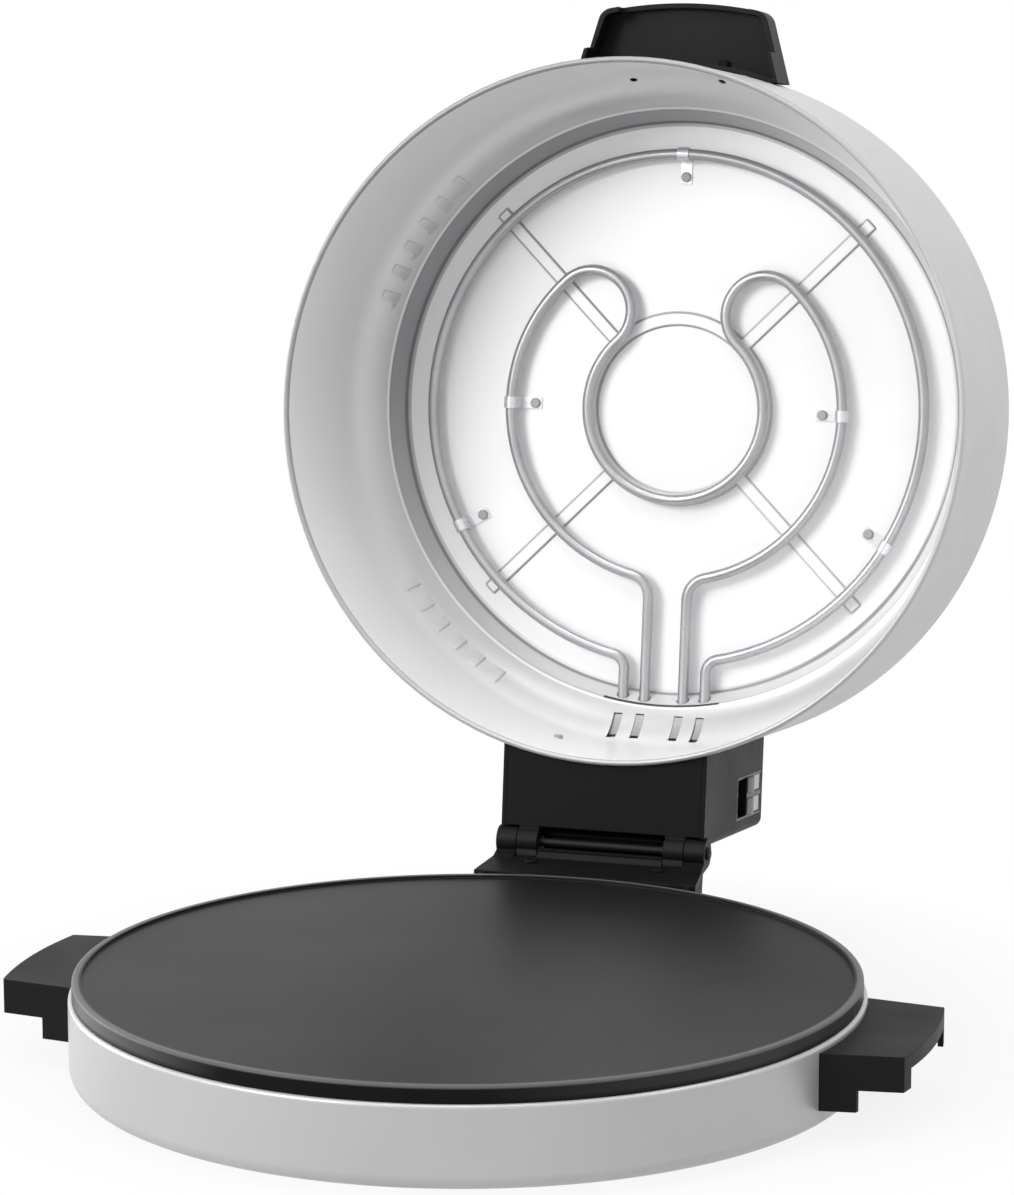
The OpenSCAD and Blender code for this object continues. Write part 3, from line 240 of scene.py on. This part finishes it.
class Graph:
    """A material's node tree, with short calls for what the materials below share."""

    def __init__(self, name, color, metallic, roughness, specular=0.5):
        self.material = bpy.data.materials.new(name)
        self.material.use_nodes = True
        self.tree = self.material.node_tree
        self.bsdf = self.tree.nodes["Principled BSDF"]
        self.bsdf.inputs["Base Color"].default_value = (*color, 1)
        self.bsdf.inputs["Metallic"].default_value = metallic
        self.bsdf.inputs["Roughness"].default_value = roughness
        self.bsdf.inputs["Specular IOR Level"].default_value = specular

    def node(self, kind, **values):
        made = self.tree.nodes.new(kind)
        for key, value in values.items():
            setattr(made, key, value)
        return made

    def link(self, a, b):
        self.tree.links.new(a, b)

    def calc(self, operation, *values):
        return calculate(self.tree, operation, *values)

    def product(self, total, *factors):
        for factor in factors:
            total = self.calc("MULTIPLY", total, factor)
        return total

    def weighted(self, first, share, second, other_share):
        """Sum of two values, each times its own share."""
        return self.calc("ADD", self.product(first, share), self.product(second, other_share))

    def ramp(self, value, from_low, from_high, low=0, high=1):
        return map_range(self.tree, value, from_low, from_high, low, high)

    def place(self, about="base"):
        """The point in the frame of the base (vertical axis) or of the lid (axis along its depth)."""
        mapping = self.node("ShaderNodeMapping", vector_type="TEXTURE")
        if about == "lid":
            mapping.inputs["Location"].default_value = LID_CENTRE
            mapping.inputs["Rotation"].default_value = (LID_TURN, 0, 0)
        else:
            mapping.inputs["Location"].default_value = BASE_AXIS
        self.link(self.node("ShaderNodeTexCoord").outputs["Object"], mapping.inputs["Vector"])
        return mapping.outputs["Vector"]

    def polar(self, about):
        """x, y and z in that frame, and the distance from its axis."""
        split = self.node("ShaderNodeSeparateXYZ")
        self.link(self.place(about), split.inputs[0])
        x, y, z = split.outputs
        squares = self.calc("ADD", self.product(x, x), self.product(y, y))
        return x, y, z, self.calc("SQRT", squares)

    def unrolled(self, about, radial, around, along):
        """Cylindrical coordinates about the base's or the lid's axis, each with its own density."""
        x, y, z, radius = self.polar(about)
        join = self.node("ShaderNodeCombineXYZ")
        values = (radius, self.calc("ARCTAN2", y, x), z)
        for socket, value, density in zip(join.inputs, values, (radial, around, along)):
            self.link(self.product(value, density), socket)
        return join.outputs[0]

    def noise(self, vector, scale, detail):
        made = self.node("ShaderNodeTexNoise")
        made.inputs["Scale"].default_value = scale
        made.inputs["Detail"].default_value = detail
        made.inputs["Roughness"].default_value = NOISE_ROUGHNESS
        self.link(vector, made.inputs["Vector"])
        return made.outputs["Fac"]

    def tint(self, other, *factors):
        """Turns the base colour, as it is so far, to another by the product of the factors."""
        mix = self.node("ShaderNodeMix", data_type="RGBA")
        source = self.bsdf.inputs["Base Color"]
        if source.is_linked:
            self.link(source.links[0].from_socket, mix.inputs["A"])
        else:
            mix.inputs["A"].default_value = source.default_value
        mix.inputs["B"].default_value = (*other, 1)
        self.link(self.product(*factors), mix.inputs["Factor"])
        self.link(mix.outputs["Result"], source)

    def rough(self, factor, low, high):
        """Roughness from a noise, whose middle part covers the whole span."""
        self.link(self.ramp(factor, *NOISE_MIDDLE, low, high), self.bsdf.inputs["Roughness"])

    def bump(self, height, depth, strength):
        """Bump, on top of the rounded edges where the material has them."""
        made = self.node("ShaderNodeBump")
        made.inputs["Distance"].default_value = depth
        made.inputs["Strength"].default_value = strength
        self.link(height, made.inputs["Height"])
        source = self.bsdf.inputs["Normal"]
        if source.is_linked:
            self.link(source.links[0].from_socket, made.inputs["Normal"])
        self.link(made.outputs["Normal"], source)

    def soft_edges(self, radius):
        """Rounds the look of sharp edges, and returns a mask that is 1 along them."""
        bevel = self.node("ShaderNodeBevel", samples=4)
        bevel.inputs["Radius"].default_value = radius
        dot = self.node("ShaderNodeVectorMath", operation="DOT_PRODUCT")
        self.link(bevel.outputs[0], dot.inputs[0])
        self.link(self.node("ShaderNodeNewGeometry").outputs["Normal"], dot.inputs[1])
        self.link(bevel.outputs[0], self.bsdf.inputs["Normal"])
        return self.ramp(dot.outputs["Value"], *EDGE_COSINES)

    def lee_side(self, x, y, radius):
        """1 on the side of the lid away from the light, little on the side towards it."""
        slant = self.calc("DIVIDE", self.weighted(x, AWAY_X, y, AWAY_Y), radius)
        return self.ramp(slant, *LEE_SPAN, LEE_LEAST, 1)


def scaled(color, k):
    return tuple(min(1.0, c * k) for c in color)


# ---------------------------------------------------------------- materials
SATIN_LINES = 2200                      # density of the satin grain across the rolled sheet


def satin_metal(name, about, color, metallic, roughness, bead=None):
    """Rolled sheet with a fine satin grain that runs round its axis, faint clouds and smudges.

    A rim rolled as deep as bead gets painted shade, darker on the side away from the light.
    """
    g = Graph(name, color, metallic, roughness)
    grain = g.noise(g.unrolled(about, SATIN_LINES, 14, SATIN_LINES), scale=1, detail=4)
    cloud = g.noise(g.place(about), scale=9, detail=3)
    smudge = g.noise(g.place(about), scale=38, detail=4)
    edge = g.soft_edges(0.0006)
    g.tint(scaled(color, 0.94), g.ramp(cloud, 0.35, 0.7))
    g.tint(scaled(color, 0.93), g.ramp(grain, 0.35, 0.7), 0.35)
    g.tint(scaled(color, 1.12), edge, 0.4)
    if bead:
        x, y, depth, radius = g.polar(about)
        on_bead = g.ramp(depth, bead, bead + 0.0002, 0.9, 0)
        # painted shade on the rolled rim, on the side of the lid away from the light
        g.tint(scaled(color, 0.5), g.lee_side(x, y, radius), on_bead)
    g.rough(g.weighted(grain, 0.55, smudge, 0.45), roughness - 0.06, roughness + 0.09)
    g.bump(grain, depth=0.00002, strength=0.35)
    return g.material


def rib_outline(g, x, y, radius):
    """1 on thin lines round the ring and the four diagonal arms that are pressed into the floor, where painted
    shade goes.
    """
    soft = 0.0004

    def line(value, at):
        away = g.calc("ABSOLUTE", g.calc("SUBTRACT", value, at))
        return g.ramp(away, 0.0005, 0.001, 1, 0)

    diagonals = [g.calc("ABSOLUTE", g.product(g.calc(operation, x, y), 0.5 ** 0.5))
                 for operation in ("ADD", "SUBTRACT")]
    across, along = g.calc("MINIMUM", *diagonals), g.calc("MAXIMUM", *diagonals)
    off_arm = g.ramp(across, ARM_HALF - soft, ARM_HALF)
    arm_sides = g.product(line(across, ARM_HALF), g.ramp(along, RING_R - soft, RING_R),
                          g.ramp(along, ARM_END, ARM_END + soft, 1, 0))
    arm_end = g.product(line(along, ARM_END), g.calc("SUBTRACT", 1, off_arm))
    ring_outside = g.product(line(radius, RING_R), off_arm)
    ring = g.calc("MAXIMUM", line(radius, RING_R - 2 * ARM_HALF), ring_outside)
    return g.calc("MAXIMUM", ring, g.calc("MAXIMUM", arm_sides, arm_end))


def liner_metal(name):
    """Bright reflector sheet: fine roll grain and a lighter floor, with painted shade and painted highlights on
    the shoulder, step, creases and pressed ring and arms.
    """
    color = (0.9, 0.9, 0.905)
    shade = (0.3, 0.3, 0.31)
    shoulder_end = 0.017                # how far past the step the shoulder's shade goes
    hinge_shade_end = (0.187, 0.199)    # the painted shade by the hinge ends between these radii
    g = Graph(name, color, metallic=0.2, roughness=0.3)
    x, y, depth, radius = g.polar("lid")
    grain = g.noise(g.unrolled("lid", 420, 8, 420), scale=1, detail=2)
    cloud = g.noise(g.place("lid"), scale=11, detail=3)
    lee = g.lee_side(x, y, radius)
    to_right = g.calc("DIVIDE", x, radius)
    to_hinge = g.calc("DIVIDE", y, radius)

    def band(low, high, soft):
        """1 between two radii, with soft borders outside them."""
        return g.product(g.ramp(radius, low - soft, low), g.ramp(radius, high, high + soft, 1, 0))

    g.tint(scaled(color, 0.96), g.ramp(cloud, 0.4, 0.7), 0.3)
    g.tint((0.97, 0.97, 0.975), g.ramp(radius, FLOOR_R - 0.001, FLOOR_R, 1, 0))
    # painted highlight along the edges of the louvre hoods in the wall
    g.tint((1, 1, 1), g.soft_edges(0.0005), g.ramp(depth, WALL_DEPTH, WALL_DEPTH + 0.001, 0.8, 0))
    # shade on the shoulder beside the step, on the step wall, and on the rim of the floor
    g.tint(shade, g.ramp(radius, STEP_R, STEP_R + shoulder_end, 1, 0), 0.7,
           lee, g.ramp(radius, STEP_R - 0.0002, STEP_R))
    g.tint((0.22, 0.225, 0.235), band(FLOOR_R, STEP_R, 0.0006), lee, 0.74)
    g.tint(shade, band(FLOOR_R - 0.0025, FLOOR_R, 0.0008), lee, 0.7)
    # painted shade: the hinge side of the step and shoulder, which faces the light, is tinted grey to stay below
    # white
    g.tint((0.5, 0.5, 0.51), g.ramp(to_hinge, 0.1, 0.8, 0, 0.95),
           g.ramp(radius, FLOOR_R - 0.002, FLOOR_R), g.ramp(radius, STEP_R - 0.0005, STEP_R, 0.4, 1),
           g.ramp(radius, *hinge_shade_end, 1, 0))
    # painted shade in the crease at the foot of the step, wider and darker at the lower right
    g.tint((0.2, 0.2, 0.21), band(FLOOR_R - 0.0004, FLOOR_R + 0.0004, 0.0005), 0.75)
    g.tint(shade, band(FLOOR_R - 0.0012, FLOOR_R + 0.0005, 0.0009),
           g.ramp(to_right, 0.1, 0.6, 0, 0.95), g.ramp(to_hinge, 0.2, 0.55, 0.35, 1))
    # painted shade: a dark line for the slit where the heater legs leave the floor
    g.tint((0.06, 0.06, 0.06), band(STEP_R - 0.0004, STEP_R + 0.0005, 0.0004),
           g.ramp(g.calc("ABSOLUTE", x), LEG_SLIT_HALF - 0.0005, LEG_SLIT_HALF + 0.0005, 1, 0),
           g.ramp(y, 0, 0.01))
    # painted highlights along the creases outside and inside the step
    g.tint((0.76, 0.76, 0.77), band(STEP_R + 0.0009, STEP_R + 0.0017, 0.0004))
    g.tint((0.97, 0.97, 0.97), band(FLOOR_R - 0.0036, FLOOR_R - 0.0028, 0.0004))
    # painted shade along the outline of the pressed ring and arms, lighter at the lower right
    g.tint((0.34, 0.34, 0.345), rib_outline(g, x, y, radius), g.ramp(lee, LEE_LEAST, 0.6, 0.55, 0.85),
           g.ramp(depth, FLOOR_DEPTH, FLOOR_DEPTH + 0.001))
    g.rough(cloud, 0.3, 0.4)
    g.bump(grain, depth=0.00001, strength=0.2)
    return g.material


def tube_steel(name):
    """Heater sheath: grey steel with a faint straw and blue heat tint in patches, and draw marks."""
    g = Graph(name, (0.46, 0.465, 0.475), metallic=0.85, roughness=0.42)
    patch = g.noise(g.place("lid"), scale=24, detail=2)
    fine = g.noise(g.place("lid"), scale=900, detail=3)
    g.tint((0.37, 0.35, 0.33), g.ramp(patch, 0.52, 0.75), 0.5)
    g.tint((0.33, 0.345, 0.375), g.ramp(patch, 0.48, 0.28), 0.35)
    g.rough(fine, 0.27, 0.4)
    g.bump(fine, depth=0.00002, strength=0.15)
    return g.material


def moulded_plastic(name, color, roughness, grain_size, grain_depth):
    """Injection-moulded plastic: fine spark-eroded grain, slightly polished edges, faint dust tone."""
    g = Graph(name, color, metallic=0.0, roughness=roughness, specular=0.15)
    edge = g.soft_edges(0.0009)
    grain = g.noise(g.place(), scale=1 / grain_size, detail=3)
    cloud = g.noise(g.place(), scale=22, detail=4)
    g.tint(scaled(color, 1.35), g.ramp(cloud, 0.45, 0.75), 0.5)
    g.tint(scaled(color, 1.8), edge, 0.5)
    g.rough(g.weighted(cloud, 0.6, grain, 0.4), roughness - 0.07, roughness + 0.08)
    g.bump(grain, depth=grain_depth, strength=0.5)
    return g.material


def nonstick(name):
    """Non-stick coating: near black with fine flecks and a soft sheen; a painted highlight on the lip, and painted
    shade and sheen on the outer wall.
    """
    wall_top = (PLATE_TOP - 0.0085, PLATE_TOP - 0.006)      # the painted sheen on the wall sets in here
    g = Graph(name, (0.008, 0.008, 0.0085), metallic=0.0, roughness=0.36, specular=0.12)
    fleck = g.noise(g.place(), scale=2600, detail=2)
    cloud = g.noise(g.place(), scale=14, detail=3)
    edge = g.soft_edges(0.0008)
    g.tint((0.06, 0.06, 0.062), g.ramp(fleck, 0.66, 0.74), 0.7)
    g.tint((0.013, 0.013, 0.0135), g.ramp(cloud, 0.4, 0.7), 0.5)
    # painted shade makes the outer wall darker than the top, and a painted sheen lies high up on its right and
    # left
    x, _, height, radius = g.polar("base")
    to_right = g.calc("DIVIDE", x, radius)
    outer = g.ramp(radius, LIP_R - 0.001, LIP_R)
    above = g.product(outer, g.ramp(height, *wall_top))
    g.tint((0.0015, 0.0015, 0.0015), outer)
    g.tint((0.05, 0.05, 0.052), above, g.ramp(to_right, 0.35, 0.85, 0, 0.8))
    g.tint((0.17, 0.17, 0.175), above, g.ramp(to_right, -0.3, -0.85, 0, 0.8))
    # painted highlight: the rounded lip is tinted grey
    g.tint((0.13, 0.13, 0.132), g.ramp(radius, LIP_R - 0.003, LIP_R - 0.002),
           g.ramp(height, PLATE_TOP - 0.0018, PLATE_TOP - 0.0008, 0, 0.8))
    g.tint((0.05, 0.05, 0.05), edge, 0.5)
    g.rough(cloud, 0.37, 0.41)
    g.bump(g.noise(g.place(), scale=1500, detail=2), depth=0.00004, strength=0.4)
    return g.material


def plain_steel(name, color, roughness, metallic=1.0, specular=0.5):
    """Plated or painted steel of screws, nuts, pans and brackets, with fine marks."""
    g = Graph(name, color, metallic, roughness, specular)
    edge = g.soft_edges(0.0003)
    fine = g.noise(g.place(), scale=700, detail=3)
    g.tint(scaled(color, 0.8), g.ramp(fine, 0.45, 0.7), 0.4)
    g.tint(scaled(color, 1.25), edge, 0.4)
    g.rough(fine, roughness - 0.06, roughness + 0.08)
    g.bump(fine, depth=0.00002, strength=0.3)
    return g.material


def grained_matt(name, color, roughness, other, scale, spots, grain_depth):
    """Matt ceramic or rubber, with one fine grain that turns its spots to another tone."""
    g = Graph(name, color, metallic=0.0, roughness=roughness)
    grain = g.noise(g.place(), scale, detail=3)
    g.tint(other, g.ramp(grain, *spots), 0.5)
    g.bump(grain, depth=grain_depth, strength=0.5)
    return g.material


FINISHES = {                            # by name: its maker, and what the maker takes
    "band_steel": (satin_metal, dict(
        about="base", color=(0.52, 0.52, 0.52), metallic=0.4, roughness=0.36)),
    "lid_aluminium": (satin_metal, dict(
        about="lid", color=(0.58, 0.58, 0.585), metallic=0.35, roughness=0.42, bead=LID_BEAD)),
    "bright_liner": (liner_metal, {}),
    "heater_tube": (tube_steel, {}),
    "nonstick_plate": (nonstick, {}),
    "pan_steel": (plain_steel, dict(color=(0.5, 0.5, 0.51), roughness=0.4)),
    "screw_steel": (plain_steel, dict(color=(0.58, 0.58, 0.6), roughness=0.3)),
    "bright_sheet": (plain_steel, dict(color=(0.75, 0.75, 0.77), roughness=0.3, metallic=0.85)),
    "thermostat_can": (plain_steel, dict(color=(0.66, 0.66, 0.67), roughness=0.35)),
    # grey of the sheets in the leg slots, which are painted shade
    "strip_steel": (plain_steel, dict(color=(0.42, 0.42, 0.425), roughness=0.5, metallic=0.3)),
    "dull_screw": (plain_steel, dict(color=(0.4, 0.4, 0.405), roughness=0.5, metallic=0.3)),
    "black_screw": (plain_steel, dict(
        color=(0.004, 0.004, 0.004), roughness=0.6, metallic=0.0, specular=0.1)),
    "pin_steel": (plain_steel, dict(
        color=(0.008, 0.008, 0.0083), roughness=0.5, metallic=0.0, specular=0.2)),
    "black_plastic": (moulded_plastic, dict(
        color=(0.0045, 0.0045, 0.0047), roughness=0.5, grain_size=0.0007, grain_depth=0.00006)),
    "black_gloss": (moulded_plastic, dict(
        color=(0.012, 0.012, 0.013), roughness=0.2, grain_size=0.0012, grain_depth=0.00002)),
    "silver_plastic": (moulded_plastic, dict(
        color=(0.62, 0.62, 0.62), roughness=0.32, grain_size=0.0009, grain_depth=0.00002)),
    "ceramic_white": (grained_matt, dict(
        color=(0.84, 0.83, 0.79), roughness=0.62, other=(0.66, 0.64, 0.6),
        scale=1300, spots=(0.55, 0.75), grain_depth=0.00005)),
    "foot_rubber": (grained_matt, dict(
        color=(0.02, 0.02, 0.02), roughness=0.75, other=(0.035, 0.035, 0.034),
        scale=1100, spots=(0.5, 0.7), grain_depth=0.0001)),
}
OWN_FINISH = {"clip_screws": "dull_screw", "housing_screws": "dull_screw"}  # in place of the slot's


def dress(materials):
    """Gives each CAD node its material."""
    slots = {part["node"]: part["material_slot"] for part in frame["record"]["subparts"]}
    for name, item in frame["nodes"].items():
        item.data.materials.clear()
        item.data.materials.append(materials[OWN_FINISH.get(name, slots[name])])


# ---------------------------------------------------------------- grey sheets in the leg slots, as painted shade
STRIP_HALF, STRIP_THICK = 0.00245, 0.0006       # half width, and thickness
STRIP_GAP = 0.0001                      # between the strip and the shoulder's round
STRIP_TURNS = (math.radians(32.5), math.radians(62.5))  # the part of the round that it covers
STRIP_STEPS = 14


def slot_shade_sheet(index, x, material):
    """Grey sheet in one of the slots in the shoulder, painted shade standing in for the soft grey shade seen
    there; open at its end beside the rim.
    """
    low, high = STRIP_TURNS
    inner = ARC_R + STRIP_GAP
    outer = inner + STRIP_THICK
    corners = ((-STRIP_HALF, inner), (STRIP_HALF, inner), (STRIP_HALF, outer), (-STRIP_HALF, outer))
    build = bmesh.new()
    rings = []
    for step in range(STRIP_STEPS + 1):
        turn = low + (high - low) * step / STRIP_STEPS
        rings.append([build.verts.new(lid_point(x + side, ARC_CENTRE[0] + r * math.cos(turn),
                                                ARC_CENTRE[1] + r * math.sin(turn)))
                      for side, r in corners])
    for a, b in zip(rings, rings[1:]):
        for k in range(4):
            build.faces.new((a[k], a[(k + 1) % 4], b[(k + 1) % 4], b[k]))
    build.faces.new(rings[0])
    build.faces.new(reversed(rings[-1]))
    bmesh.ops.recalc_face_normals(build, faces=build.faces)
    name = f"leg_slot_shade_{index}"
    mesh = bpy.data.meshes.new(name)
    build.to_mesh(mesh)
    build.free()
    mesh.materials.append(material)
    strip = bpy.data.objects.new(name, mesh)
    bpy.context.scene.collection.objects.link(strip)
    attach(strip, "lid")


bpy.context.scene.view_settings.view_transform = "Standard"
add_camera()
set_world()
add_floor()
for lamp in LAMPS:
    add_lamp(*lamp)
finishes = {name: make(name, **values) for name, (make, values) in FINISHES.items()}
dress(finishes)
for number, leg_x in enumerate(LEG_XS):
    slot_shade_sheet(number, leg_x, finishes["strip_steel"])
